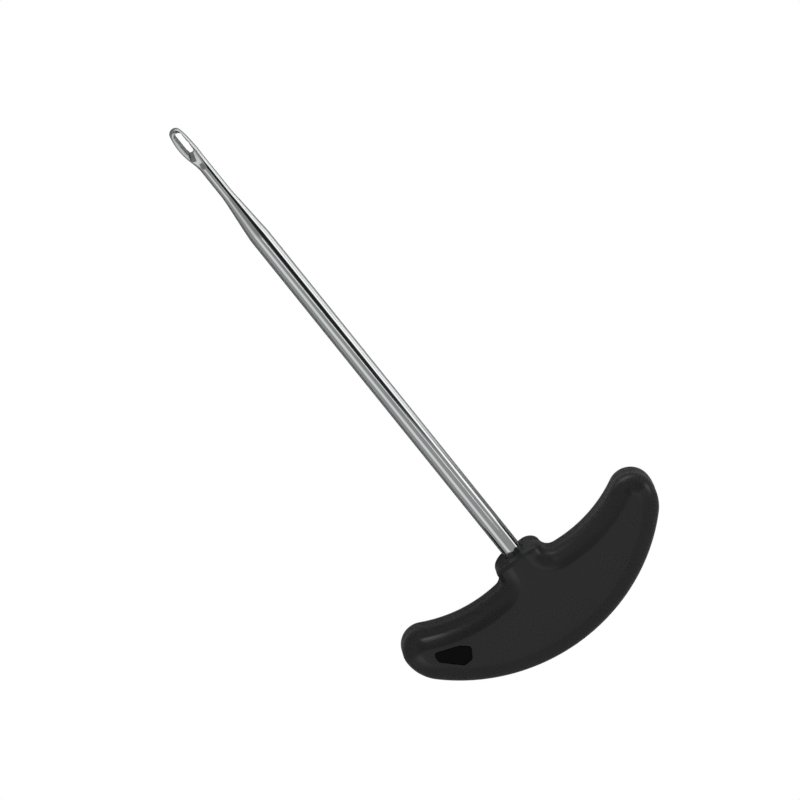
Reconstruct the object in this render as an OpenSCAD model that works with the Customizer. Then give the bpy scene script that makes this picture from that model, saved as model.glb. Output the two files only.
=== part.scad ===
// Tyre plug insertion tool: a chromed round shank with an eyed tip, held in a
// half-moon T-handle made of two welded shells.
//
// X runs across the handle, Y along the shank towards the tip, and Z up out of
// the handle's front face. The tool lies on the flat back of its handle, and
// the origin is on the floor under the middle of its length.

/* [Tool] */
// Length over everything, from the palm edge to the tip
overall_l = 200; // [190:0.5:215]
// Diameter of the shank
shank_d = 6; // [6:0.25:7]

/* [Handle] */
// Width from wing tip to wing tip
handle_w = 90.5; // [89:0.5:92.5]
// Depth from the top of the neck to the palm edge
handle_depth = 33.5; // [32.5:0.5:34.5]
// Thickness of the two shells together
handle_t = 16; // [15:0.5:18]
// Radius of the palm edge
palm_r = 58; // [57:0.5:60]
// Radius of each finger hollow
finger_r = 42; // [38:1:46]
// Distance of each finger hollow's centre from the middle
finger_x = 15.5; // [14:0.5:17]
// Radius of the round wing tips
wing_r = 6.7; // [6.5:0.1:7]
// Drop of the wing tips' centres below the top of the neck
wing_drop = 6.7; // [6:0.1:7.5]
// Radius rolled round the edges of both faces
edge_r = 5.5; // [5:0.25:6.25]
// Wall left by the cored pockets
wall = 3; // [2:0.25:3.5]

/* [Neck] */
// Width of the neck that the shank comes out of
neck_w = 15.8; // [15:0.2:17.6]
// Radius where the neck runs into the finger hollows
neck_fillet_r = 3.2; // [2.5:0.1:4]
// Radius of the neck's shoulders
shoulder_r = 2.2; // [1.6:0.1:2.2]
// Radius rolled over the front and back of the neck's top
lip_r = 1.5; // [1:0.25:1.5]

/* [Tip] */
// Length of the even, full-size part of the shank outside the handle
straight_l = 125; // [110:1:130]
// Length of the taper down to the slim neck behind the eye
taper_l = 15.5; // [12:0.5:18]
// Diameter of the slim neck behind the eye
slim_d = 3.6; // [3.3:0.1:4]
// Width across the eye blade
blade_w = 4.8; // [4.4:0.1:4.8]
// Thickness of the eye blade between its two flats
blade_t = 2.8; // [2.4:0.1:3.2]
// Sideways set of the eye blade from the shank's axis
blade_set = 0.5; // [0.3:0.05:0.55]
// Turn of the blade's flats about the shank, away from the handle's face
blade_turn = 12; // [0:2:40]
// Length of the eye
eye_l = 7.6; // [6:0.2:8]
// Width of the eye
eye_w = 2.4; // [1.8:0.1:2.5]

/* [Anchor] */
// Length of the tang inside the handle
tang_l = 26; // [22:1:28]
// Diameter of the tang
tang_d = 5.6; // [4.8:0.1:5.8]
// Diameter of the cross pin through the tang
pin_d = 3; // [2:0.5:3]
// Length of the cross pin
pin_l = 24; // [18:1:26]
// Distance of the cross pin below the top of the neck
pin_drop = 18; // [14:0.5:20]

/* [Badge] */
// Depth of the badge's recess in the front face
recess_depth = 0.9; // [0.8:0.1:1.2]
// Thickness of the blank badge
badge_t = 0.8; // [0.4:0.1:0.8]

/* [Hidden] */

shank_r = shank_d / 2;
slim_r = slim_d / 2;
axis_z = handle_t / 2;                     // height of the shank's axis and the parting face
neck_y = handle_depth - overall_l / 2;     // top of the neck
free_l = overall_l - handle_depth;         // shank outside the handle

// The right half of the handle's outline is a chain of arcs, placed from the
// middle of the neck's top.
wing_x = handle_w / 2;
palm_c = [0, palm_r - handle_depth];
wing_c = [wing_x - wing_r, -wing_drop];
// The turn from the palm edge to the wing tip is one arc, tangent to the palm
// edge and upright at the tip.
turn_r = (pow(palm_r, 2) - pow(wing_x, 2) - pow(wing_drop + palm_c.y, 2)) / (2 * (palm_r - wing_x));
turn_c = [wing_x - turn_r, -wing_drop];
turn_a = heading(palm_c, turn_c);
finger_c = [
    finger_x,
    sqrt(pow(finger_r + wing_r, 2) - pow(wing_c.x - finger_x, 2)) - wing_drop
];
finger_a = heading(finger_c, wing_c);
fillet_x = neck_w / 2 + neck_fillet_r;
fillet_c = [
    fillet_x,
    finger_c.y - sqrt(pow(finger_r - neck_fillet_r, 2) - pow(finger_x - fillet_x, 2))
];
fillet_a = heading(finger_c, fillet_c);

// Rings of one half of the handle, from below the parting face up over the
// rolled edge to the front face, as [inset from the outline, height].
edge_steps = 8;
spare = 2;                                 // length below the parting face that is cut away
rings = concat(
    [[0, -spare]],
    [for (i = [0:edge_steps]) let (a = 90 * i / edge_steps)
        [edge_r * (1 - cos(a)), handle_t / 2 - edge_r * (1 - sin(a))]]
);

seat_gap = 0.05;                           // room round the tang and the pin in the shells
mouth = 0.5;                               // bevel round the shank at the top of the neck
spine_w = 13;                              // solid middle that carries the tang
pin_block = [pin_l + 4, 8];                // solid round the cross pin
rib_t = 2;
rib_places = [-30, -18, 18, 30];
pillar_r = 3;
pillar_places = [[-24, -15.5], [24, -15.5]];
peg_r = 1.5;
peg_h = 2.5;
peg_gap = 0.1;
relief = [28, 8, 4];                       // width, reach and slope of the relief under the neck

// The eye blade is a round bulb set to one side, with two flats.
nose_r = 1.9;
side_r = 21;                               // long arcs of the bulb's sides
side_x = blade_w / 2 - side_r;
nose_rise = sqrt(pow(side_r - nose_r, 2) - pow(side_x, 2));
wide_y = free_l - nose_r - nose_rise;      // the bulb's widest place
side_a = asin(nose_rise / (side_r - nose_r));
root_a = -acos((slim_r - 0.4 - side_x) / side_r);
flat_start = free_l - 12;                  // the flats begin here with a rounded run-out
runout_r = 12;                             // radius of the run-outs of the flats
eye_end = free_l - 1.5;                    // the eye's far end
eye_start = eye_end - eye_l;
groove_r = 6;                              // radius of the run-outs of the grooves
groove_turn = 16;                          // turn of the grooves in the blade's plane

// Blank badge: a rounded wedge on the left wing, as corner circles [x, y, radius].
badge_corners = [
    [-35.9, -9.2, 1.1], [-29.7, -11.5, 1], [-27.8, -13.2, 1],
    [-29.2, -15.4, 1], [-31.3, -15.5, 1], [-36.1, -10.6, 1]
];
badge_gap = 0.1;

function heading(from, to) = atan2(to.y - from.y, to.x - from.x);
function arc(c, r, start, end, steps) =
    [for (i = [0:steps]) let (a = start + (end - start) * i / steps) c + r * [cos(a), sin(a)]];

// From the middle of the palm edge round the wing tip, the finger hollow and
// the neck's shoulder to the middle of the neck's top, all moved in by inset.
// The neck's top drops by drop.
function half_outline(inset, drop) =
    let (
        neck_x = neck_w / 2 - inset,
        round_r = min(shoulder_r * (1 - 0.7 * inset / edge_r), -fillet_c.y - drop)
    )
    concat(
        arc(palm_c, palm_r - inset, -90, turn_a, 20),
        arc(turn_c, turn_r - inset, turn_a + 4, -4, 6),
        arc(wing_c, wing_r - inset, 0, finger_a + 180, 12),
        arc(finger_c, finger_r + inset, finger_a - 3, fillet_a, 14),
        arc(fillet_c, neck_fillet_r + inset, fillet_a - 12, -180, 6),
        arc([neck_x - round_r, -round_r - drop], round_r, 0, 90, 5)
    );

function outline(inset, drop) =
    let (half = half_outline(inset, drop))
    concat(half, [for (i = [len(half) - 1:-1:1]) [-half[i].x, half[i].y]]);

// How far the neck's top has rolled back at a height above the parting face.
function lip_drop(z) =
    let (over = max(z - handle_t / 2 + lip_r, 0))
    lip_r - sqrt(pow(lip_r, 2) - pow(over, 2));

// One half of the handle before it is cored, with its spare length below z = 0.
module half_form() {
    loops = [for (ring = rings) [for (p = outline(ring[0], lip_drop(ring[1]))) [p.x, p.y, ring[1]]]];
    n = len(loops[0]);
    last = len(loops) - 1;
    polyhedron(
        points = [for (loop = loops) each loop],
        faces = concat(
            [[for (i = [0:n - 1]) i]],
            [[for (i = [n - 1:-1:0]) last * n + i]],
            [for (k = [0:last - 1], i = [0:n - 1]) let (j = (i + 1) % n)
                each [[k * n + i, (k + 1) * n + j, k * n + j], [k * n + i, (k + 1) * n + i, (k + 1) * n + j]]]
        )
    );
}

// Cored pockets between the spine, the ribs and the pillars.
module pockets() {
    translate([0, 0, -1])
        linear_extrude(1 + handle_t / 2 - wall)
            difference() {
                polygon(outline(wall, wall));
                square([spine_w, 3 * handle_depth], center = true);
                translate([0, -pin_drop])
                    square(pin_block, center = true);
                for (x = rib_places)
                    translate([x, -handle_depth / 2])
                        square([rib_t, 2 * handle_depth], center = true);
                for (p = pillar_places)
                    translate(p)
                        circle(pillar_r, $fn = 48);
            }
}

// Half-round beds for the tang and the pin, open on the parting face.
module seats() {
    rotate([90, 0, 0])
        translate([0, 0, -1])
            cylinder(h = tang_l + 1 + seat_gap, r = tang_d / 2 + seat_gap, $fn = 64);
    rotate([90, 0, 0])
        translate([0, 0, -mouth])
            cylinder(h = 2 * mouth, r1 = shank_r + 2 * mouth, r2 = shank_r, $fn = 64);
    translate([0, -pin_drop, 0])
        rotate([0, 90, 0])
            cylinder(h = pin_l + 2 * seat_gap, r = pin_d / 2 + seat_gap, center = true, $fn = 48);
}

module half_shell() {
    difference() {
        half_form();
        translate([-handle_w, -2 * handle_depth, -2 * spare])
            cube([2 * handle_w, 3 * handle_depth, 2 * spare]);
        pockets();
        seats();
    }
}

module badge_outline() {
    hull()
        for (c = badge_corners)
            translate([c.x, c.y])
                circle(c[2], $fn = 24);
}

module front_shell() {
    color("#242424")
        translate([0, neck_y, axis_z])
            difference() {
                half_shell();
                for (p = pillar_places)
                    translate([p.x, p.y, -1])
                        cylinder(h = 1 + peg_h + peg_gap, r = peg_r + peg_gap, $fn = 48);
                translate([0, 0, handle_t / 2 - recess_depth])
                    linear_extrude(recess_depth + 1)
                        badge_outline();
            }
}

// Wedge that lifts the back face off the floor under the neck, so that the
// tool lies steady on both wings and its tip.
module neck_relief() {
    translate([-relief.x / 2, -relief.y, -axis_z])
        rotate([relief[2], 0, 0])
            translate([0, 0, -5])
                cube([relief.x, 3 * relief.y, 5]);
}

module back_shell() {
    color("#1f1f1f")
        translate([0, neck_y, axis_z]) {
            difference() {
                mirror([0, 0, 1])
                    half_shell();
                neck_relief();
            }
            for (p = pillar_places)
                translate([p.x, p.y, -1])
                    cylinder(h = 1 + peg_h, r = peg_r, $fn = 48);
        }
}

module blank_badge() {
    color("#0b0b0b")
        translate([0, neck_y, handle_t - recess_depth])
            linear_extrude(badge_t)
                offset(delta = -badge_gap)
                    badge_outline();
}

// Steel dowel through the tang, lying in the parting face.
module anchor_pin() {
    color("silver")
        translate([0, neck_y - pin_drop, axis_z])
            rotate([0, 90, 0])
                cylinder(h = pin_l, r = pin_d / 2, center = true, $fn = 48);
}

// Turned length of the shank, along +Z from the tang's end to inside the bulb.
module turned_rod() {
    inside = free_l - 9;
    translate([0, 0, -tang_l])
        cylinder(h = tang_l, r = tang_d / 2, $fn = 96);
    cylinder(h = straight_l, r = shank_r, $fn = 96);
    translate([0, 0, straight_l])
        cylinder(h = taper_l, r1 = shank_r, r2 = slim_r, $fn = 96);
    translate([0, 0, straight_l + taper_l])
        cylinder(h = inside - straight_l - taper_l, r = slim_r, $fn = 96);
    translate([0, 0, inside])
        cylinder(h = 4, r1 = slim_r, r2 = 1, $fn = 96);
}

// Round bulb that the eye blade is flattened from, along +Z.
module bulb() {
    side = arc([side_x, wide_y], side_r, root_a, side_a, 16);
    nose = arc([0, wide_y + nose_rise], nose_r, side_a, 90, 10);
    rotate_extrude($fn = 96)
        polygon(concat([[0, side[0].y]], side, [for (i = [1:9]) nose[i]], [[0, free_l]]));
}

// Cutter for one flat, at half the blade's thickness along +Y.
module flat_cutter() {
    translate([-4, blade_t / 2, flat_start])
        cube([8, 4, 14]);
    translate([0, blade_t / 2 + runout_r, flat_start])
        rotate([0, 90, 0])
            cylinder(h = 8, r = runout_r, center = true, $fn = 128);
}

// Through eye with round ends on the shank's axis, and a slanting groove that
// leads into it on each face.
module eye_cutter() {
    for (z = [eye_start + eye_w / 2, eye_end - eye_w / 2])
        translate([0, 0, z])
            rotate([90, 0, 0])
                cylinder(h = 8, r = eye_w / 2, center = true, $fn = 48);
    translate([-eye_w / 2, -4, eye_start + eye_w / 2])
        cube([eye_w, 8, eye_l - eye_w]);
    for (side = [-1, 1])
        translate([0, side * (groove_r + 0.3), eye_start + 1])
            rotate([0, 90 + groove_turn, 0])
                cylinder(h = eye_w - 1, r = groove_r, center = true, $fn = 96);
}

module shank() {
    color("silver")
        translate([0, neck_y, axis_z])
            rotate([-90, 0, 0])
                difference() {
                    union() {
                        turned_rod();
                        rotate([0, 0, -blade_turn])
                            translate([-blade_set, 0, 0])
                                bulb();
                    }
                    rotate([0, 0, -blade_turn]) {
                        for (side = [0, 180])
                            translate([-blade_set, 0, 0])
                                rotate([0, 0, side])
                                    flat_cutter();
                        eye_cutter();
                    }
                    translate([0, 0, -pin_drop])
                        rotate([0, 90, 0])
                            cylinder(h = 3 * shank_d, r = pin_d / 2, center = true, $fn = 48);
                }
}

shank();
anchor_pin();
front_shell();
back_shell();
blank_badge();
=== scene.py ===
# %% [markdown]
# # A tyre plug insertion tool
# A chromed steel shank with an eye at its tip stands in a black plastic half-moon handle. The CAD model
# has settled every size, so this lesson loads it as a fixed frame and builds the finished surfaces in
# the same places: the moulded shells, the turned and flattened shank, the cross pin and the blank inlay.

import bpy
import numpy as np
from mathutils import Matrix, Vector
from mathutils.geometry import delaunay_2d_cdt


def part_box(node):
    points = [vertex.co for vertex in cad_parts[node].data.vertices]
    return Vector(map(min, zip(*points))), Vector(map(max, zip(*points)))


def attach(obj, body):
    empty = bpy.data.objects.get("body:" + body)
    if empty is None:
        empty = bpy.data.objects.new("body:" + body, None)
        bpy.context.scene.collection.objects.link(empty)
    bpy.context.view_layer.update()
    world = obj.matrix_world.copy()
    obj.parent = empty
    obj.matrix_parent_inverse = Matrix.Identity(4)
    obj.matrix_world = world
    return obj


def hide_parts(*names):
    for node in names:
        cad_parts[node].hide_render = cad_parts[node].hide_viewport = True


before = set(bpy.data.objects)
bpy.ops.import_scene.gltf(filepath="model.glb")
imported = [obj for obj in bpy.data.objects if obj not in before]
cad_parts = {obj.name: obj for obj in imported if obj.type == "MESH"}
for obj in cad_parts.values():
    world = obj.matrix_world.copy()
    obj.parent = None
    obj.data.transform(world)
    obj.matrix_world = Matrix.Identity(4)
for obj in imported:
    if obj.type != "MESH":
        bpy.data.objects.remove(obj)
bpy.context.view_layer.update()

# %% [markdown]
# ## Sizes
# Shapes are worked out in millimetres from the middle of the neck's top, on the shank's own axis: X runs
# across the handle, Y along the shank to the tip, and Z out of the front face. The sizes that the CAD
# boxes show are read from them, and the rest are the radii that a pattern maker would draw with.

# %% Read the sizes
MM = 0.001


def box_mm(node):
    """Lowest and highest corners of a CAD node, in millimetres."""
    return [np.array(corner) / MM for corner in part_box(node)]


shell_lo, shell_hi = box_mm("front_shell")
shank_lo, shank_hi = box_mm("shank")
pin_lo, pin_hi = box_mm("anchor_pin")
badge_lo = box_mm("blank_badge")[0]
NECK = np.array([0.0, shell_hi[1], shell_lo[2]])
handle_w = shell_hi[0] - shell_lo[0]
handle_depth = shell_hi[1] - shell_lo[1]
half_t = shell_hi[2] - shell_lo[2]
shank_r = (shank_hi[0] - shank_lo[0]) / 2
tang_l = NECK[1] - shank_lo[1]
free_l = shank_hi[1] - NECK[1]
pin_l = pin_hi[0] - pin_lo[0]
pin_r = (pin_hi[2] - pin_lo[2]) / 2
pin_drop = NECK[1] - (pin_lo[1] + pin_hi[1]) / 2
print("handle", handle_w, handle_depth, 2 * half_t, "shank outside it", free_l, "tang", tang_l)

# %% [markdown]
# ## Camera
# The tool is seen almost from straight above, from so far away that nothing narrows with distance. The
# camera leans a little towards the tip and to the right, and is rolled so that the shank runs from the
# handle up to the left.

# %% Place the camera
LEAN_TO_TIP = np.radians(16.4)
LEAN_TO_RIGHT = np.radians(6.2)
ROLL = np.radians(38.8)
CAMERA_FAR = 3.9
PICTURE_W = 0.2358
AIM = np.array([0.00197, -0.00779, 0.00800])
SENSOR_W = 36.0
CLIP_FAR = 20


def unit(vector):
    """The vector at length 1."""
    return vector / np.linalg.norm(vector)


def sight_axes():
    """Right, up and backward axes of the camera. Backward leans by the two angles, and up is the
    shank's direction as the camera sees it, turned back by the roll."""
    back = np.array([np.sin(LEAN_TO_RIGHT), np.sin(LEAN_TO_TIP), 0.0])
    back[2] = np.sqrt(1 - back @ back)
    along = unit(np.array([0.0, 1.0, 0.0]) - back * back[1])
    across = np.cross(along, back)
    right = np.cos(ROLL) * across - np.sin(ROLL) * along
    up = np.sin(ROLL) * across + np.cos(ROLL) * along
    return right, up, back


right, up, back = sight_axes()
camera = bpy.data.objects.new("camera", bpy.data.cameras.new("camera"))
bpy.context.scene.collection.objects.link(camera)
camera.matrix_world = Matrix.Translation(Vector(AIM + CAMERA_FAR * back)) @ Matrix(
    np.stack([right, up, back], axis=1).tolist()
).to_4x4()
camera.data.sensor_width = SENSOR_W
camera.data.lens = SENSOR_W * CAMERA_FAR / PICTURE_W
camera.data.clip_end = CLIP_FAR
bpy.context.scene.camera = camera
print("lens", round(camera.data.lens, 1))

# %% [markdown]
# ## Surfaces from numpy
# Every piece here is a closed surface: rings of points carried up a profile or round an axis, joined by
# quads. Two helpers make the mesh and cut one closed piece with others.

# %% Mesh helpers
SHARP = np.radians(28)


def add_piece(name, points, faces):
    """A mesh object from millimetre points, counted from the neck, and their faces."""
    mesh = bpy.data.meshes.new(name)
    mesh.from_pydata(((points + NECK) * MM).tolist(), [], faces)
    mesh.validate()
    piece = bpy.data.objects.new(name, mesh)
    bpy.context.scene.collection.objects.link(piece)
    return piece


def grid_quads(rows, columns):
    """Quads between neighbouring rows of a grid whose columns run round a closed loop."""
    row = np.arange(rows - 1)[:, None] * columns
    here = np.arange(columns)[None]
    beside = np.roll(here, -1)
    quads = np.stack([row + here, row + beside, row + columns + beside, row + columns + here], -1)
    return quads.reshape(-1, 4).tolist()


def tube(name, rings):
    """A closed piece from an array of rings (rows, columns, 3), with a flat face at both ends."""
    rows, columns = rings.shape[:2]
    ends = [list(range(columns - 1, -1, -1)), list(range((rows - 1) * columns, rows * columns))]
    return add_piece(name, rings.reshape(-1, 3), grid_quads(rows, columns) + ends)


def turned(profile, turns=96, axis=1):
    """Rings of a turned piece: each profile pair (way along, radius) becomes the circle
    (radius * sin a, way along, radius * cos a), and the axis picks X, Y or Z for the way along."""
    along, radius = np.array(profile, float).T[:, :, None]
    a = np.arange(turns) * 2 * np.pi / turns
    rings = np.stack([radius * np.sin(a), along + 0 * a, radius * np.cos(a)], -1)
    return np.roll(rings, axis - 1, axis=-1)


def block(name, low, high):
    """A box between two corners, as a tube of two square rings."""
    x0, y0, z0 = low
    x1, y1, z1 = high
    square = np.array([[x0, y0], [x1, y0], [x1, y1], [x0, y1]])
    return tube(name, np.stack([np.column_stack([square, [z] * 4]) for z in (z0, z1)]))


def carve(piece, operation, tools):
    """Cuts or unites closed pieces with the piece one after another and keeps the result as its mesh."""
    for tool in tools:
        step = piece.modifiers.new("carve", "BOOLEAN")
        step.operation = operation
        step.solver = "MANIFOLD"
        step.object = tool
    ready = piece.evaluated_get(bpy.context.evaluated_depsgraph_get())
    mesh = bpy.data.meshes.new_from_object(ready)
    piece.modifiers.clear()
    piece.data = mesh
    for tool in tools:
        bpy.data.objects.remove(tool)
    return piece


def finish_mesh(piece):
    """Smooth shading, with a hard edge wherever two faces meet at more than the SHARP angle."""
    piece.data.shade_smooth()
    piece.data.set_sharp_from_angle(angle=SHARP)
    print(piece.name, len(piece.data.polygons), "faces")
    return piece


# %% [markdown]
# ## The handle's outline
# Seen from the front, half of the handle is a chain of arcs that meet without a corner: the long palm
# edge, the turn at its end, the round wing tip, the finger hollow, the small fillet at the neck and the
# neck's shoulder. A ring further in has the same arcs with other radii, so points keep their places
# along the outline and the rolled edge comes out smooth.

# %% Arcs of the outline
PALM_R = 58.0
FINGER_R = 42.0
FINGER_X = 15.5
WING_R = 6.7
WING_DROP = 6.7
NECK_W = 15.8
NECK_FILLET_R = 3.2
SHOULDER_R = 2.2
SHOULDER_TIGHTENS = 0.7
LIP_R = 1.5
EDGE_R = 5.5


def heading(start, end):
    """Angle of the way from start to end."""
    return np.arctan2(end[1] - start[1], end[0] - start[0])


wing_x = handle_w / 2
palm_c = np.array([0.0, PALM_R - handle_depth])
wing_c = np.array([wing_x - WING_R, -WING_DROP])
turn_r = (PALM_R**2 - wing_x**2 - (WING_DROP + palm_c[1]) ** 2) / (2 * (PALM_R - wing_x))
turn_c = np.array([wing_x - turn_r, -WING_DROP])
turn_a = heading(palm_c, turn_c)
finger_y = np.sqrt((FINGER_R + WING_R) ** 2 - (wing_c[0] - FINGER_X) ** 2) - WING_DROP
finger_c = np.array([FINGER_X, finger_y])
finger_a = heading(finger_c, wing_c)
fillet_x = NECK_W / 2 + NECK_FILLET_R
fillet_y = finger_y - np.sqrt((FINGER_R - NECK_FILLET_R) ** 2 - (FINGER_X - fillet_x) ** 2)
fillet_c = np.array([fillet_x, fillet_y])
fillet_a = heading(finger_c, fillet_c)


def arc(centre, radius, start, stop, count):
    """centre + radius * (cos a, sin a) for each radius, with a going evenly from start up to, and
    not with, stop."""
    a = np.linspace(start, stop, count, endpoint=False)
    return centre + radius[:, None, None] * np.stack([np.cos(a), np.sin(a)], -1)


def outlines(inset, drop):
    """Closed outlines, one for each inset from the edge, with the neck's top lowered by drop: the
    right half's chain of arcs and straights, then its mirror image. The last number of each stretch
    is how many points it has."""
    inset = np.asarray(inset, float)
    neck_x = NECK_W / 2 - inset
    round_r = np.minimum(SHOULDER_R * (1 - SHOULDER_TIGHTENS * inset / EDGE_R), -fillet_y - drop)
    shoulder = np.stack([neck_x - round_r, -round_r - drop], -1)[:, None]
    up_side = np.linspace(0, 1, 4, endpoint=False)[None, :, None]
    over_top = np.linspace(0, 1, 14)[None, :, None]
    fillet_end = np.stack([neck_x, 0 * inset + fillet_y], -1)[:, None]
    shoulder_start = shoulder + np.stack([round_r, 0 * inset], -1)[:, None]
    shoulder_end = shoulder + np.stack([0 * inset, round_r], -1)[:, None]
    top_middle = np.stack([0 * inset, -drop], -1)[:, None]
    half = np.concatenate(
        [
            arc(palm_c, PALM_R - inset, -np.pi / 2, turn_a, 110),
            arc(turn_c, turn_r - inset, turn_a, 0, 36),
            arc(wing_c, WING_R - inset, 0, finger_a + np.pi, 44),
            arc(finger_c, FINGER_R + inset, finger_a, fillet_a, 70),
            arc(fillet_c, NECK_FILLET_R + inset, fillet_a, -np.pi, 26),
            fillet_end + (shoulder_start - fillet_end) * up_side,
            arc(shoulder, round_r, 0, np.pi / 2, 16),
            shoulder_end + (top_middle - shoulder_end) * over_top,
        ],
        axis=1,
    )
    return np.concatenate([half, half[:, -2:0:-1] * (-1, 1)], axis=1)


outline_points = outlines([0], np.zeros(1)).shape[1]
print("points round the outline", outline_points, "neck fillet at", round(fillet_y, 2))

# %% [markdown]
# ## The rolled edge
# A moulded grip has no plain quarter-round edge. From the parting line it stands upright, rolls over
# with a middling radius, flattens into a wide shallow shoulder, and meets the face in a tight crease.
# The section is written as a list of arcs, each given by how far the surface leans at its ends.

# %% Section of the edge
FACE_RISE = 0.25
SEAM = 0.12
FACE_LEAN = np.radians(3)
CREASE_LEAN = np.radians(11)
ROLL_LEAN = np.radians(33)
CREASE_R = 1.5
SHALLOW_R = 9.0


def section_arc(inset, height, radius, start, stop, count):
    """Points of the section along an arc whose normal leans from start to stop away from Z: a point
    moves in by radius * (sin start - sin lean) and up by radius * (cos lean - cos start)."""
    lean = np.linspace(start, stop, count + 1)[1:]
    inwards = radius * (np.sin(start) - np.sin(lean))
    upwards = radius * (np.cos(lean) - np.cos(start))
    return np.stack([inset + inwards, height + upwards], -1)


def edge_section():
    """(inset, height) pairs from the parting line to the rim of the face. It starts with a small
    groove, SEAM deep. The first arc's radius is what is left of the whole inset, and the upright part
    is what is left of the height."""
    crease_in = CREASE_R * (np.sin(CREASE_LEAN) - np.sin(FACE_LEAN))
    shallow_in = SHALLOW_R * (np.sin(ROLL_LEAN) - np.sin(CREASE_LEAN))
    roll_r = (EDGE_R - crease_in - shallow_in) / (1 - np.sin(ROLL_LEAN))
    rise = (
        roll_r * np.cos(ROLL_LEAN)
        + SHALLOW_R * (np.cos(CREASE_LEAN) - np.cos(ROLL_LEAN))
        + CREASE_R * (np.cos(FACE_LEAN) - np.cos(CREASE_LEAN))
    )
    upright = half_t - FACE_RISE - rise
    parts = [np.array([[SEAM, 0.0], [0.25 * SEAM, 0.6 * SEAM], [0.0, SEAM], [0.0, upright]])]
    for radius, start, stop, count in (
        (roll_r, np.pi / 2, ROLL_LEAN, 14),
        (SHALLOW_R, ROLL_LEAN, CREASE_LEAN, 9),
        (CREASE_R, CREASE_LEAN, FACE_LEAN, 4),
    ):
        parts.append(section_arc(*parts[-1][-1], radius, start, stop, count))
    return np.concatenate(parts)


section = edge_section()
print("section from", section[0], "to", section[-1].round(3))

# %% [markdown]
# ## The face
# The face is almost flat, with a crown that only a reflection shows. Its rim has hundreds of points, so
# the inside is filled with triangles between the rim and a honeycomb of free points, and each point is
# lifted by a soft distance from the rim.

# %% Fill a flat outline with triangles
CROWN_REACH = 3.4
HONEYCOMB = 1.1
SAME_POINT = 1e-7
CLOSEST = 1e-3


def inside(points, loop):
    """Even-odd rule: a point is inside when a ray to its right crosses the loop an odd number of
    times."""
    x, y = points[:, 0, None], points[:, 1, None]
    x0, y0 = loop.T
    x1, y1 = np.roll(loop, -1, axis=0).T
    climbs = (y0 > y) != (y1 > y)
    reach = x0 + (y - y0) * (x1 - x0) / np.where(y1 == y0, 1, y1 - y0)
    return (climbs & (x < reach)).sum(axis=1) % 2 == 1


def free_points(loops):
    """Points of a honeycomb inside the first loop and outside the others, half a cell from them all."""
    low, high = loops[0].min(axis=0), loops[0].max(axis=0)
    x, y = np.meshgrid(
        np.arange(low[0], high[0], HONEYCOMB), np.arange(low[1], high[1], HONEYCOMB * np.sqrt(3) / 2)
    )
    x = x + HONEYCOMB / 2 * (np.arange(len(y)) % 2)[:, None]
    points = np.stack([x, y], -1).reshape(-1, 2)
    gap = np.linalg.norm(points[:, None] - np.concatenate(loops)[None], axis=2).min(axis=1)
    keep = inside(points, loops[0]) & (gap > HONEYCOMB / 2)
    for hole in loops[1:]:
        keep &= ~inside(points, hole)
    return points[keep]


def fill(loops, free):
    """Delaunay triangles over the loops' points and the free points, inside the first loop and
    outside the others. The triangles count the points in that order and turn anticlockwise."""
    points = np.concatenate([*loops, free])
    starts = np.cumsum([0] + [len(loop) for loop in loops])
    edges = [
        (int(first + i), int(first + (i + 1) % len(loop)))
        for first, loop in zip(starts, loops)
        for i in range(len(loop))
    ]
    done = delaunay_2d_cdt([Vector(p) for p in points], edges, [], 0, SAME_POINT)
    source = np.array([ids[0] for ids in done[3]])
    triangles = source[np.array(done[2])]
    middle = points[triangles].mean(axis=1)
    keep = inside(middle, loops[0])
    for hole in loops[1:]:
        keep &= ~inside(middle, hole)
    triangles = triangles[keep]
    a, b, c = points[triangles].transpose(1, 0, 2)
    turn = (b - a)[:, 0] * (c - a)[:, 1] - (b - a)[:, 1] * (c - a)[:, 0]
    triangles[turn < 0] = triangles[turn < 0][:, ::-1]
    return triangles


def crown(points, rim):
    """Lift above the rim: rise * (1 - exp(-u / reach)), where u = (sum of step / gap^3) ^ -1/2 over
    the rim grows like the distance from it, and has no ridge along the middle of a wing."""
    gap = np.linalg.norm(points[:, None] - rim[None], axis=2)
    step = np.linalg.norm(np.roll(rim, -1, axis=0) - rim, axis=1)
    u = (step / np.maximum(gap, CLOSEST) ** 3).sum(axis=1) ** -0.5
    return FACE_RISE * (1 - np.exp(-u / CROWN_REACH))


print("honeycomb points in the handle's outline", len(free_points([outlines([0], np.zeros(1))[0]])))

# %% [markdown]
# ## The blank inlay's outline
# The left wing carries a small blank inlay, a rounded wedge. Its outline is the tight band round six
# discs: for each direction, the disc that reaches furthest gives the point.

# %% Band round the corner discs
INLAY_DISCS = np.array(
    [
        [-35.9, -9.2, 1.1],
        [-29.7, -11.5, 1.0],
        [-27.8, -13.2, 1.0],
        [-29.2, -15.4, 1.0],
        [-31.3, -15.5, 1.0],
        [-36.1, -10.6, 1.0],
    ]
)
INLAY_STEP = 0.4


def inlay_outline(grow=0.0, turns=120):
    """centre_k + (radius_k + grow) * e for each direction e, where k has the largest centre_k . e +
    radius_k, with the straight stretches between two discs divided evenly."""
    a = np.arange(turns) * 2 * np.pi / turns
    e = np.stack([np.cos(a), np.sin(a)], -1)
    furthest = (e @ INLAY_DISCS[:, :2].T + INLAY_DISCS[:, 2]).argmax(axis=1)
    points = INLAY_DISCS[furthest, :2] + (INLAY_DISCS[furthest, 2] + grow)[:, None] * e
    onward = np.roll(points, -1, axis=0)
    pieces = np.maximum(np.ceil(np.linalg.norm(onward - points, axis=1) / INLAY_STEP).astype(int), 1)
    start = np.repeat(np.arange(turns), pieces)
    share = np.concatenate([np.arange(n) / n for n in pieces])[:, None]
    return points[start] * (1 - share) + onward[start] * share


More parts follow.
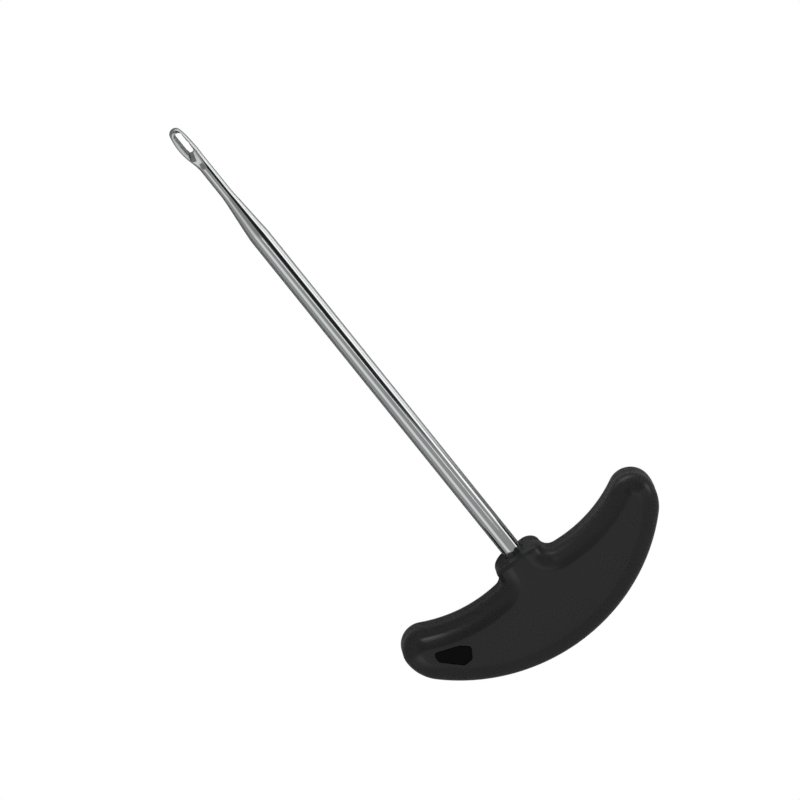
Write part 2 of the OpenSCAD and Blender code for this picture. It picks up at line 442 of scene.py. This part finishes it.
print("inlay spans", np.ptp(inlay_outline(), axis=0).round(2), "in", len(inlay_outline()), "points")

# %% [markdown]
# ## Moulded shells
# Each shell starts as a closed form: rings up the edge section, the crowned face, and a flat parting
# face. Only the front one has the inlay's recess. Then the inside is cored as a moulder would, with
# ribs, a solid spine, and half-round beds for the tang and the cross pin.
#
# One fault is left in. The walls of the recess are wound with their faces turned inwards, and the
# solver takes no cut from a form like that. So the front shell stays solid inside, and only the back
# one is cored. Reversing the four points of each quad in those walls cures it.

# %% Closed form of a shell
RECESS_FLOOR = badge_lo[2] - NECK[2]
RIM_ROUND = 0.12


def lip_drop(height):
    """How far the neck's top has rolled back at a height: LIP_R - sqrt(LIP_R^2 - over^2), where over
    is the height above the start of the lip."""
    over = np.clip(height - half_t + LIP_R, 0, LIP_R)
    return LIP_R - np.sqrt(LIP_R**2 - over**2)


def recess_rings(rim):
    """Rings of the inlay's recess, from the crowned face over a small round into the wall and down."""
    grow = RIM_ROUND * np.array([1.0, 0.4, 0.0, 0.0])
    sink = RIM_ROUND * np.array([0.0, 0.2, 1.0])
    rings = [inlay_outline(g) for g in grow]
    top = half_t - FACE_RISE + crown(rings[0], rim)
    heights = [top - s for s in sink] + [np.full(len(top), RECESS_FLOOR)]
    return [np.column_stack([ring, z]) for ring, z in zip(rings, heights)]


def shell_form(name, recessed):
    """The closed form of one shell above the parting plane."""
    inset, height = section.T
    loops = outlines(inset, lip_drop(height))
    rows, columns = loops.shape[:2]
    walls = np.concatenate([loops, np.broadcast_to(height[:, None, None], (rows, columns, 1))], -1)
    rim = loops[-1]
    holes = recess_rings(rim) if recessed else []
    flat = [rim] + [hole[:, :2] for hole in holes[:1]]
    free = free_points(flat)
    lifted = np.column_stack([free, half_t - FACE_RISE + crown(free, rim)])
    points = np.concatenate([walls.reshape(-1, 3), *holes[:1], lifted, *holes[1:]])
    faces = grid_quads(rows, columns)
    faces += (fill(flat, free) + (rows - 1) * columns).tolist()
    faces += fill([loops[0]], np.empty((0, 2)))[:, ::-1].tolist()
    if recessed:
        count = len(holes[0])
        first = rows * columns + count + len(free)
        starts = [rows * columns] + [first + i * count for i in range(len(holes) - 1)]
        here = np.arange(count)
        beside = np.roll(here, -1)
        for upper, lower in zip(starts, starts[1:]):
            faces += np.stack([lower + here, lower + beside, upper + beside, upper + here], -1).tolist()
        faces.append((starts[-1] + here).tolist())
    return add_piece(name, points, faces)


# %% Core the inside
WALL = 3.0
PAST = 1
CORE_LOW, CORE_HIGH = -2, 9
SPINE_W = 13.0
PIN_BLOCK_DEPTH = 8.0
PIN_BLOCK_END = 2
RIB_T = 2.0
RIB_PLACES = (-30.0, -18.0, 18.0, 30.0)
PILLAR_R = 3.0
PILLARS = ((-24.0, -15.5), (24.0, -15.5))
PEG_R = 1.5
PEG_H = 2.5
PEG_GAP = 0.1
TANG_R = 2.8
SEAT_GAP = 0.05
MOUTH = 0.5
RELIEF_W, RELIEF_REACH = 28.0, 8.0
RELIEF_SLOPE = np.tan(np.radians(4))
RELIEF_TALL = 5


def pocket_tool():
    """The cored space: a prism inside the wall, less the spine, the pin's block, ribs and pillars,
    which all run from CORE_LOW to CORE_HIGH."""
    loop = outlines([WALL], np.full(1, WALL))[0]
    levels = (-PAST, half_t - WALL)
    prism = tube("pocket", np.stack([np.column_stack([loop, np.full(len(loop), z)]) for z in levels]))
    far = 2 * handle_depth
    solids = [
        block("spine", (-SPINE_W / 2, -far, CORE_LOW), (SPINE_W / 2, far, CORE_HIGH)),
        block(
            "pin_block",
            (-pin_l / 2 - PIN_BLOCK_END, -pin_drop - PIN_BLOCK_DEPTH / 2, CORE_LOW),
            (pin_l / 2 + PIN_BLOCK_END, -pin_drop + PIN_BLOCK_DEPTH / 2, CORE_HIGH),
        ),
    ]
    for x in RIB_PLACES:
        solids.append(block("rib", (x - RIB_T / 2, -far, CORE_LOW), (x + RIB_T / 2, far, CORE_HIGH)))
    for x, y in PILLARS:
        rings = turned([(CORE_LOW, PILLAR_R), (CORE_HIGH, PILLAR_R)], 48, axis=2)
        solids.append(tube("pillar", rings + np.array([x, y, 0])))
    return carve(prism, "DIFFERENCE", solids)


def seat_tools():
    """Half-round beds for the tang and the pin, and the bevelled mouth round the shank."""
    tang = [(-tang_l - SEAT_GAP, TANG_R + SEAT_GAP), (PAST, TANG_R + SEAT_GAP)]
    mouth = [(-MOUTH, shank_r), (MOUTH, shank_r + 2 * MOUTH)]
    half = pin_l / 2 + SEAT_GAP
    pin = turned([(-half, pin_r + SEAT_GAP), (half, pin_r + SEAT_GAP)], 48, axis=0)
    return [
        tube("tang_bed", turned(tang, 96)),
        tube("mouth", turned(mouth, 96)),
        tube("pin_bed", pin - np.array([0, pin_drop, 0])),
    ]


def relief_tool():
    """A wedge under the neck, so that the tool lies steady on both wings and its tip. It is written as
    a tube across X of four-cornered rings, above the face that will be turned to the floor."""
    y0, y1 = -RELIEF_REACH, 2 * RELIEF_REACH
    top, cut = half_t + RELIEF_TALL, half_t - RELIEF_SLOPE * (y1 - y0)
    corners = np.array([[y0, top], [y0, half_t], [y1, cut], [y1, top]])
    sides = [np.column_stack([np.full(4, x), corners]) for x in (-RELIEF_W / 2, RELIEF_W / 2)]
    return tube("relief", np.stack(sides))


def peg(radius, low, high, place):
    """A peg, or the cutter for its hole, standing at a place on the parting face."""
    return tube("peg", turned([(low, radius), (high, radius)], 48, axis=2) + np.array([*place, 0]))


front = shell_form("front_grip_shell", True)
holes = [peg(PEG_R + PEG_GAP, -PAST, PEG_H + PEG_GAP, place) for place in PILLARS]
carve(front, "DIFFERENCE", [pocket_tool(), *seat_tools(), *holes])
finish_mesh(front)

rear = shell_form("back_grip_shell", False)
carve(rear, "DIFFERENCE", [pocket_tool(), *seat_tools(), relief_tool()])
flipped = Matrix.Translation((0, 0, 2 * NECK[2] * MM)) @ Matrix.Diagonal((1, 1, -1, 1))
rear.data.transform(flipped)
rear.data.flip_normals()
carve(rear, "UNION", [peg(PEG_R, -PAST, PEG_H, place) for place in PILLARS])
finish_mesh(rear)

# %% [markdown]
# ## Blank inlay
# A thin black plate with a softly rounded edge drops into the recess, and stays just below the face.

# %% Inlay plate
PLATE_GAP = 0.1
PLATE_ROUND = 0.18
PLATE_SUNK = 0.02
DOME_IN, DOME_RISE = 0.5, 0.01
plate_high = half_t - FACE_RISE - PLATE_SUNK
lean = np.linspace(0, np.pi / 2, 6)
round_z = plate_high - PLATE_ROUND * (1 - np.sin(lean))
plate_in = np.concatenate([[0.0], PLATE_ROUND * (1 - np.cos(lean)), [DOME_IN]])
plate_z = np.concatenate([[RECESS_FLOOR], round_z, [plate_high + DOME_RISE]])
plate = tube(
    "blank_inlay",
    np.stack(
        [
            np.column_stack([loop, np.full(len(loop), z)])
            for loop, z in zip((inlay_outline(-PLATE_GAP - i) for i in plate_in), plate_z)
        ]
    ),
)
finish_mesh(plate)

# %% [markdown]
# ## The eye blade
# The slim neck of the shank swells into a bulb that is pressed between two flats and pierced by a
# long eye, with a groove leading into it. Such a shape is easiest to say as a field: a number for
# every point in space, below zero inside the metal. Soft minimum and maximum join and cut fields with
# small blends, like polished edges, and a surface net turns the field's zero level into quads.

# %% Field of the blade
SLIM_R = 1.8
SLIM_SHIFT = 0.25
BLADE_W = 4.8
BLADE_T = 2.8
BLADE_SET = 0.5
BLADE_TURN = np.radians(12)
EYE_L = 7.6
EYE_W = 2.4
NOSE_R = 1.9
SIDE_R = 21.0
RUNOUT_R = 12.0
GROOVE_R = 6.0
GROOVE_W = 1.4
GROOVE_WEB = 0.3
GROOVE_TURN = np.radians(16)
GROOVE_START = 1
FLAT_L = 12
EYE_TO_TIP = 1.5
NECK_FADE, NECK_END, NECK_END_R = 9, 5, 1.0
ROD_END = 150.0
BLADE_FOOT = 148.0
SKIN_STEP = 0.004
NECK_BLEND, FLAT_BLEND, GROOVE_BLEND, HOLE_BLEND = 0.8, 0.3, 0.2, 0.25

side_x = BLADE_W / 2 - SIDE_R
nose_rise = np.sqrt((SIDE_R - NOSE_R) ** 2 - side_x**2)
nose_y = free_l - NOSE_R
wide_y = nose_y - nose_rise
side_a = np.arcsin(nose_rise / (SIDE_R - NOSE_R))
flat_start = free_l - FLAT_L
eye_end = free_l - EYE_TO_TIP
eye_start = eye_end - EYE_L


def soft_min(a, b, blend):
    """min(a, b) less h^2 * blend / 4, with h = 1 - |a - b| / blend where that is above zero."""
    h = np.maximum(1 - np.abs(a - b) / blend, 0)
    return np.minimum(a, b) - h**2 * blend / 4


def soft_max(a, b, blend):
    """The soft minimum turned over."""
    return -soft_min(-a, -b, blend)


def runout(before, radius):
    """How far a round cutter has risen at a distance before its start: r - sqrt(r^2 - before^2), held
    just short of its whole radius."""
    before = np.clip(before, 0, 0.98 * radius)
    return radius - np.sqrt(radius**2 - before**2)


def blade_field(x, y, z):
    """Distance-like field of the blade: (bulb or neck) and between the flats, not eye, not groove."""
    across = x * np.cos(BLADE_TURN) + z * np.sin(BLADE_TURN)
    through = np.abs(z * np.cos(BLADE_TURN) - x * np.sin(BLADE_TURN))
    rho = np.hypot(across + BLADE_SET, through)
    side = np.hypot(rho - side_x, y - wide_y) - SIDE_R
    nose = np.hypot(rho, y - nose_y) - NOSE_R
    bulb = np.where(np.arctan2(y - wide_y, rho - side_x) > side_a, nose, side)
    fade = [free_l - NECK_FADE, free_l - NECK_END]
    neck_r = np.interp(y, fade, [SLIM_R - SKIN_STEP, NECK_END_R])
    neck = soft_max(np.hypot(x - SLIM_SHIFT, z) - neck_r, y - (free_l - NECK_END), FLAT_BLEND)
    flats = through - BLADE_T / 2 - runout(flat_start - y, RUNOUT_R)
    body = soft_max(soft_min(bulb, neck, NECK_BLEND), flats, FLAT_BLEND)
    eye_mid = (eye_start + eye_end) / 2
    past = np.maximum(np.abs(y - eye_mid) - (EYE_L - EYE_W) / 2, 0)
    eye = np.hypot(across, past) - EYE_W / 2
    ahead = y - eye_start - GROOVE_START
    beside = np.abs(across * np.cos(GROOVE_TURN) - ahead * np.sin(GROOVE_TURN))
    onward = np.abs(across * np.sin(GROOVE_TURN) + ahead * np.cos(GROOVE_TURN))
    scoop = GROOVE_WEB + runout(onward, GROOVE_R) - through
    groove = soft_max(scoop, beside - GROOVE_W / 2, GROOVE_BLEND)
    body = soft_max(soft_max(body, -eye, HOLE_BLEND), -groove, HOLE_BLEND)
    return np.maximum(body, BLADE_FOOT - y)


print("flats from", round(flat_start, 2), "eye from", round(eye_start, 2), "to", round(eye_end, 2))

# %% Surface net
CELL = 0.1
NEWTON_STEPS = 3
LEAST_SLOPE = 0.05
NET_HALF, NET_BELOW, NET_ABOVE = 3.45, 0.55, 0.45


def gradient(field, points, h=1e-3):
    """Slope of the field by central differences."""
    shifts = h * np.eye(3)
    return np.stack([(field(*(points + s).T) - field(*(points - s).T)) / (2 * h) for s in shifts], -1)


def surface_net(field, low, high):
    """One point in each grid cell that the zero level crosses, at the mean of the crossings on its
    edges, then pulled onto the level by Newton steps p - f * g / |g|^2. Each grid edge that crosses
    the level gives a quad between its four cells."""
    ticks = [np.arange(a, b + CELL, CELL) for a, b in zip(low, high)]
    value = field(*np.meshgrid(*ticks, indexing="ij"))
    solid = value < 0
    cells = [n - 1 for n in value.shape]
    total, count = np.zeros((*cells, 3)), np.zeros(cells)
    crossings = []
    for axis in range(3):
        a = np.moveaxis(value, axis, 0)[:-1]
        b = np.moveaxis(value, axis, 0)[1:]
        crossed = (a < 0) != (b < 0)
        share = np.where(crossed, a / np.where(crossed, a - b, 1), 0)
        crossings.append(np.moveaxis(crossed, 0, axis))
        share = np.moveaxis(share, 0, axis)
        for i in (0, 1):
            for j in (0, 1):
                place = np.zeros(3)
                window = [slice(None)] * 3
                for other, shift in zip([k for k in range(3) if k != axis], (i, j)):
                    window[other] = slice(shift, shift + cells[other])
                    place[other] = shift
                hit = crossings[axis][tuple(window)]
                offset = np.broadcast_to(place, (*cells, 3)).copy()
                offset[..., axis] = share[tuple(window)]
                total += offset * hit[..., None]
                count += hit
    used = count > 0
    number = np.full(cells, -1)
    number[used] = np.arange(used.sum())
    corner = np.stack(np.nonzero(used), -1)
    points = np.array(low) + CELL * (corner + total[used] / count[used][:, None])
    for _ in range(NEWTON_STEPS):
        slope = gradient(field, points)
        step = field(*points.T) / np.maximum((slope**2).sum(axis=1), LEAST_SLOPE)
        points -= np.clip(step, -CELL, CELL)[:, None] * slope
    quads = []
    for axis in range(3):
        b_axis, c_axis = (axis + 1) % 3, (axis + 2) % 3
        at = np.stack(np.nonzero(crossings[axis]), -1)
        around = []
        for db, dc in ((-1, -1), (0, -1), (0, 0), (-1, 0)):
            cell = at.copy()
            cell[:, b_axis] += db
            cell[:, c_axis] += dc
            around.append(number[tuple(cell.T)])
        ring = np.stack(around, -1)
        inward = solid[tuple(at.T)]
        quads.append(np.where(inward[:, None], ring, ring[:, ::-1]))
    return points, np.concatenate(quads)


net_points, net_quads = surface_net(
    blade_field,
    (-NET_HALF, BLADE_FOOT - NET_BELOW, -NET_HALF),
    (NET_HALF, free_l + NET_ABOVE, NET_HALF),
)
blade = add_piece("eye_blade", net_points, net_quads.tolist())
print("blade", len(net_points), "points, y up to", round(net_points[:, 1].max(), 3))

# %% [markdown]
# ## The shank
# The rod is turned: tang, even stretch, taper and slim neck, with the kinks rounded by a short moving
# average. Its slim end stands a few thousandths proud of the blade's neck, so the two unite cleanly.

# %% Turned rod
STRAIGHT_L = 125.0
TAPER_L = 15.5
KINK = 0.8
TANG_CHAMFER = 0.5
STEP_HALF, STEP_IN = 0.3, 0.02
PIN_HOLE_END = 6


def rod_radius(y):
    """Radius along the rod: straight lines between the drawn corners, averaged over KINK each way."""
    corners = [0, STRAIGHT_L, STRAIGHT_L + TAPER_L, free_l]
    radii = [shank_r, shank_r, SLIM_R, SLIM_R]
    spread = np.linspace(-KINK, KINK, 9)
    return np.interp(y[:, None] + spread, corners, radii).mean(axis=1)


def rod_rings():
    """Turned rings of the whole rod, moved aside by SLIM_SHIFT over the taper."""
    even = np.array([STEP_HALF, 20, 40, 60, 80, 100, 115])
    shaped = np.linspace(STRAIGHT_L - 2, STRAIGHT_L + TAPER_L + 2, 60)
    y = np.concatenate([even, shaped, [ROD_END - 4, ROD_END]])
    tang = [
        (-tang_l, TANG_R - TANG_CHAMFER),
        (-tang_l + TANG_CHAMFER, TANG_R),
        (-STEP_HALF, TANG_R),
        (0, shank_r - STEP_IN),
    ]
    rings = turned(tang + list(zip(y, rod_radius(y))), 128)
    share = np.clip((rings[..., 1] - STRAIGHT_L) / TAPER_L, 0, 1)
    rings[..., 0] += SLIM_SHIFT * share**2 * (3 - 2 * share)
    return rings


shank = tube("chromed_shank", rod_rings())
carve(shank, "UNION", [blade])
pin_hole = turned([(-PIN_HOLE_END, pin_r), (PIN_HOLE_END, pin_r)], 48, axis=0)
carve(shank, "DIFFERENCE", [tube("pin_hole", pin_hole - np.array([0, pin_drop, 0]))])
finish_mesh(shank)

# %% [markdown]
# ## Cross pin
# A plain ground dowel with chamfered ends locks the tang between the two shells.

# %% Turned pin
PIN_CHAMFER = 0.35
pin_half = pin_l / 2
pin_profile = [
    (-pin_half, pin_r - PIN_CHAMFER),
    (-pin_half + PIN_CHAMFER, pin_r),
    (pin_half - PIN_CHAMFER, pin_r),
    (pin_half, pin_r - PIN_CHAMFER),
]
cross_pin = tube("cross_pin", turned(pin_profile, 64, axis=0) - np.array([0, pin_drop, 0]))
finish_mesh(cross_pin)

# %% [markdown]
# ## Shader maths as Python
# A wire is one output socket. Arithmetic on wires adds Math nodes, and node() adds any other node, so a
# finish reads as a formula.

# %% Wires


class Wire:
    """One output socket of a node tree, with arithmetic."""

    def __init__(self, tree, socket=None):
        self.tree = tree
        self.socket = socket

    def node(self, kind, settings=None, values=None, out=0):
        """Adds a node: its settings first, then a number, vector or wire for each named socket. Gives
        the wire of one output."""
        made = self.tree.nodes.new(kind)
        for name, value in (settings or {}).items():
            setattr(made, name, value)
        for name, value in (values or {}).items():
            if isinstance(value, Wire):
                self.tree.links.new(value.socket, made.inputs[name])
            else:
                made.inputs[name].default_value = value
        return Wire(self.tree, made.outputs[out] if len(made.outputs) else None)

    def maths(self, operation, first, second=0.0):
        return self.node("ShaderNodeMath", {"operation": operation}, {0: first, 1: second})

    def __add__(self, other):
        return self.maths("ADD", self, other)

    __radd__ = __add__

    def __sub__(self, other):
        return self.maths("SUBTRACT", self, other)

    def __rsub__(self, other):
        return self.maths("SUBTRACT", other, self)

    def __mul__(self, other):
        return self.maths("MULTIPLY", self, other)

    __rmul__ = __mul__

    def eased(self, low, high):
        """0 below low, 1 above high, and an S-curve between."""
        return self.node(
            "ShaderNodeMapRange",
            {"interpolation_type": "SMOOTHSTEP"},
            {"Value": self, "From Min": low, "From Max": high},
        )

    def window(self, low, high, soft):
        """1 between low and high and 0 outside them, with soft edges."""
        return self.eased(low - soft, low + soft) * (1 - self.eased(high - soft, high + soft))

    def dot(self, vector):
        values = {0: self, 1: tuple(vector)}
        return self.node("ShaderNodeVectorMath", {"operation": "DOT_PRODUCT"}, values, out="Value")

    def stretched(self, scale):
        return self.node("ShaderNodeVectorMath", {"operation": "MULTIPLY"}, {0: self, 1: scale})

    def noise(self, scale, detail=2.0):
        """Noise between 0 and 1, read at this vector."""
        return self.node("ShaderNodeTexNoise", {}, {"Vector": self, "Scale": scale, "Detail": detail})

    def between(self, dark, light):
        """A colour from dark at 0 to light at 1."""
        return self.node(
            "ShaderNodeMix",
            {"data_type": "RGBA"},
            {0: self, 6: (*dark, 1), 7: (*light, 1)},
            out=2,
        )


def new_material(name):
    """An empty node material and a wire that nodes can be hung on."""
    material = bpy.data.materials.new(name)
    material.use_nodes = True
    material.node_tree.nodes.clear()
    return material, Wire(material.node_tree)


def principled(start, values, height=None, depth=1e-5):
    """A Principled surface with its output, and a bump of depth metres if there is a height."""
    if height is not None:
        bump = start.node("ShaderNodeBump", {}, {"Height": height, "Distance": depth})
        values = {**values, "Normal": bump}
    surface = start.node("ShaderNodeBsdfPrincipled", {}, values)
    start.node("ShaderNodeOutputMaterial", {}, {"Surface": surface})


# %% [markdown]
# ## Moulded plastic
# The grip is black polypropylene from a finely blasted mould: satin, almost even in colour, with a
# grain too fine to see except where it breaks a highlight, and faint clouds where it has been handled.

# %% Grip plastic
GRIP_DARK = (0.0260, 0.0256, 0.0255)
GRIP_LIGHT = (0.0360, 0.0355, 0.0353)


def grip_plastic():
    material, start = new_material("grip_plastic")
    place = start.node("ShaderNodeTexCoord", out="Object")
    clouds = place.noise(45.0, 3.0)
    grain = place.noise(2600.0, 2.0)
    waves = place.noise(160.0, 1.0)
    values = {
        "Base Color": (0.7 * clouds + 0.3 * grain).between(GRIP_DARK, GRIP_LIGHT),
        "Roughness": 0.21 + 0.08 * clouds + 0.05 * grain,
        "IOR": 1.47,
    }
    principled(start, values, grain + 3.0 * waves, 6e-6)
    return material


# %% [markdown]
# ## Chrome
# Bright nickel-chrome on drawn steel. The drawing leaves hair-fine lines along the rod that stretch
# every reflection a little, and polishing leaves long shallow waves. The pressed blade is less bright.

# %% Chrome plating
PRESS_FADE = (-2, 3)


def chrome():
    material, start = new_material("chrome")
    place = start.node("ShaderNodeTexCoord", out="Object")
    lines = place.stretched((1.0, 0.02, 1.0)).noise(5200.0, 2.0)
    waves = place.stretched((1.0, 0.25, 1.0)).noise(420.0, 1.0)
    haze = place.noise(90.0, 3.0)
    low, high = ((NECK[1] + flat_start + step) * MM for step in PRESS_FADE)
    pressed = place.dot((0, 1, 0)).eased(low, high)
    values = {
        "Base Color": haze.between((0.56, 0.575, 0.58), (0.64, 0.65, 0.65)),
        "Metallic": 1.0,
        "Roughness": 0.045 + 0.05 * haze + 0.04 * lines + 0.17 * pressed,
    }
    principled(start, values, lines + 2.0 * waves, 2.5e-6)
    return material


# %% [markdown]
# ## Inlay and pin
# The inlay is smooth gloss black, deeper than the grip. The pin is ground steel, with grinding marks
# round it.

# %% Inlay black


def inlay_black():
    material, start = new_material("inlay_black")
    place = start.node("ShaderNodeTexCoord", out="Object")
    mottle = place.noise(700.0, 3.0)
    values = {
        "Base Color": mottle.between((0.0020, 0.0020, 0.0020), (0.0036, 0.0036, 0.0035)),
        "Roughness": 0.16 + 0.08 * mottle,
        "IOR": 1.2,
    }
    principled(start, values, mottle, 3e-6)
    return material


# %% Ground steel


def ground_steel():
    material, start = new_material("ground_steel")
    place = start.node("ShaderNodeTexCoord", out="Object")
    marks = place.stretched((1.0, 0.06, 0.06)).noise(7000.0, 2.0)
    values = {
        "Base Color": marks.between((0.42, 0.42, 0.43), (0.56, 0.56, 0.56)),
        "Metallic": 1.0,
        "Roughness": 0.22 + 0.14 * marks,
    }
    principled(start, values, marks, 2e-6)
    return material


# %% [markdown]
# ## Finished pieces
# Each piece gets its finish, rides on the tool's one body, and hides the CAD node it stands for.

# %% Hand the pieces over
plastic = grip_plastic()
pieces = (
    (shank, "shank", "chromed_steel", chrome()),
    (front, "front_shell", "handle_plastic", plastic),
    (rear, "back_shell", "handle_plastic", plastic),
    (cross_pin, "anchor_pin", "pin_steel", ground_steel()),
    (plate, "blank_badge", "badge_plastic", inlay_black()),
)
for piece, node, slot, material in pieces:
    piece.data.materials.clear()
    piece.data.materials.append(material)
    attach(piece, "root")
    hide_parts(node)
print("handed over", [piece[0].name for piece in pieces])

# %% [markdown]
# ## Floor
# The tool lies on a plain pale sheet. Seen directly the sheet is white paper, evenly lit. What it
# throws back into the chrome has painted shade and painted light: a painted shade makes it duller on
# the left, and on the right a painted glow brightens it away from the rod's shade, beside the shank
# only. All the edges below are in metres across or along the floor.

# %% Pale sheet
# Painted shade and light: the paper's grey runs from a shaded tone on the left to a lit tone on the
# right, and an emitted glow paints light on the right, though the sheet is no lamp.
PAPER_PAINTED_SHADE, PAPER_PAINTED_LIGHT = (0.5, 0.51, 0.505), (0.62, 0.62, 0.62)
PAPER_TURNS = (-0.01, 0.01)
NEAR_PAINTED_GLOW, NEAR_RISES = 0.7, (0.004, 0.024)
FAR_RISES = (0.015, 0.06)
GLOW_FALLS = (0.07, 0.10)
GLOW_STARTS = (-0.055, -0.015)


def pale_sheet():
    material, start = new_material("pale_sheet")
    place = start.node("ShaderNodeTexCoord", out="Object")
    x, y = place.dot((1, 0, 0)), place.dot((0, 1, 0))
    # Painted shade on the left and a painted glow on the right, which only reflections see.
    colour = x.eased(*PAPER_TURNS).between(PAPER_PAINTED_SHADE, PAPER_PAINTED_LIGHT)
    painted_glow = x.eased(*NEAR_RISES) * NEAR_PAINTED_GLOW + x.eased(*FAR_RISES)
    painted_glow = painted_glow * y.eased(*GLOW_STARTS) * (1 - x.eased(*GLOW_FALLS))
    paper = start.node("ShaderNodeBsdfDiffuse", {}, {"Color": colour})
    lit = start.node("ShaderNodeEmission", {}, {"Color": (1, 1, 1, 1), "Strength": painted_glow})
    thrown = start.node("ShaderNodeAddShader", {}, {0: paper, 1: lit})
    seen = start.node("ShaderNodeEmission", {}, {"Color": (1, 1, 1, 1), "Strength": 1.0})
    direct = start.node("ShaderNodeLightPath", out="Is Camera Ray")
    mixed = start.node("ShaderNodeMixShader", {}, {0: direct, 1: thrown, 2: seen})
    start.node("ShaderNodeOutputMaterial", {}, {"Surface": mixed})
    return material


FLOOR_HALF = 3.0
floor_mesh = bpy.data.meshes.new("floor")
corner = [(-1, -1), (1, -1), (1, 1), (-1, 1)]
floor_mesh.from_pydata([(x * FLOOR_HALF, y * FLOOR_HALF, 0) for x, y in corner], [], [(0, 1, 2, 3)])
floor = bpy.data.objects.new("floor", floor_mesh)
bpy.context.scene.collection.objects.link(floor)
floor_mesh.materials.append(pale_sheet())

# %% [markdown]
# ## Cards
# Two cards hang above the tool, where only reflections see them. A black one keeps the tent's light
# off the upper half of the rod, which gives it a dark band with a slanting start, and a narrow white
# one lays a thin bright line beside it.

# %% Hang the cards
CARD_HEIGHT = 0.3
BLACK_CORNERS = [(0.13, -0.095), (0.62, -0.23), (0.62, 0.6), (0.13, 0.6)]
BLACK_LIGHT = 0.02
STRIP_ENDS = np.array([[0.180, -0.17], [0.040, -0.01]])
STRIP_W = 0.022
STRIP_LIGHT = 1.6


def card(name, corners, strength):
    """A flat card at CARD_HEIGHT over its corners on the floor, which only reflections can see."""
    mesh = bpy.data.meshes.new(name)
    mesh.from_pydata([(x, y, CARD_HEIGHT) for x, y in corners], [], [tuple(range(len(corners)))])
    made = bpy.data.objects.new(name, mesh)
    bpy.context.scene.collection.objects.link(made)
    material, start = new_material(name)
    light = start.node("ShaderNodeEmission", {}, {"Color": (1, 1, 1, 1), "Strength": strength})
    start.node("ShaderNodeOutputMaterial", {}, {"Surface": light})
    mesh.materials.append(material)
    made.visible_camera = made.visible_diffuse = made.visible_shadow = False


card("black_card", BLACK_CORNERS, BLACK_LIGHT)
strip_way = unit(STRIP_ENDS[1] - STRIP_ENDS[0])
strip_side = STRIP_W / 2 * np.array([strip_way[1], -strip_way[0]])
near, far = STRIP_ENDS
strip = np.array([near - strip_side, near + strip_side, far + strip_side, far - strip_side])
card("white_card", strip.tolist(), STRIP_LIGHT)
print("bright strip", strip.round(3).tolist())

# %% [markdown]
# ## Light
# The light is a tent of white cloth with a dark gap for the camera. A polished rod shows the tent as
# bands along itself: dull low on the left, bright upper left, dark above, bright again low on the
# right. The bands are windows on the angle round the shank, in degrees from straight up: where each
# starts and ends, and how soft its edges are. They are kept to the directions that the rod throws to
# the camera, which all lean towards the handle. A soft arc beside the camera draws the thin highlight
# on the grip's rolled edge.

# %% Tent
CLOTH_COLOUR = (0.985, 1.0, 0.995, 1)
CLOTH_LIGHT, ROD_LIGHT = 0.24, 0.16
ROD_WINDOW = (-0.42, -0.10, 0.03)
LEFT_LIGHT, LEFT_WINDOW = 0.58, (-51, -22, 5)
RIGHT_LIGHT, RIGHT_WINDOW = 1.2, (68, 120, 4)
DARK_GAP = 0.03
GAP_EDGES = np.cos(np.radians([25, 19]))
ARC_LIGHT = 8.0
ARC_EDGES, ARC_SOFT = np.cos(np.radians([31.5, 24.5])), 0.008
ARC_SIDE = np.array([0.84, 0.54, 0.0])
ARC_STARTS = (0.57, 0.62)


def tent():
    world = bpy.data.worlds.new("tent")
    world.use_nodes = True
    world.node_tree.nodes.clear()
    bpy.context.scene.world = world
    start = Wire(world.node_tree)
    way = start.node("ShaderNodeTexCoord", out="Generated")
    x, y, z = (way.dot(tuple(axis)) for axis in np.eye(3).tolist())
    round_y = start.maths("ARCTAN2", x, z) * float(np.degrees(1))
    rod_side = y.window(*ROD_WINDOW)
    near_sight = way.dot(back)
    sideways = way.dot(unit(ARC_SIDE))
    light = CLOTH_LIGHT + ROD_LIGHT * rod_side
    light = light + LEFT_LIGHT * round_y.window(*LEFT_WINDOW) * rod_side
    light = light + RIGHT_LIGHT * round_y.window(*RIGHT_WINDOW) * rod_side
    gap = near_sight.eased(*GAP_EDGES)
    light = light * (1 - gap) + DARK_GAP * gap
    arc_band = near_sight.window(*ARC_EDGES, ARC_SOFT)
    light = light + ARC_LIGHT * arc_band * sideways.eased(*ARC_STARTS)
    seen = start.node("ShaderNodeLightPath", out="Is Camera Ray")
    strength = light * (1 - seen) + seen
    shine = start.node("ShaderNodeBackground", {}, {"Color": CLOTH_COLOUR, "Strength": strength})
    start.node("ShaderNodeOutputWorld", {}, {"Surface": shine})


tent()
bpy.context.scene.view_settings.view_transform = "Standard"

# %% [markdown]
# ## Finish
# The view layer is brought up to date. The visual model has to stay inside the CAD
# model's box.

# %% Finish
bpy.context.view_layer.update()
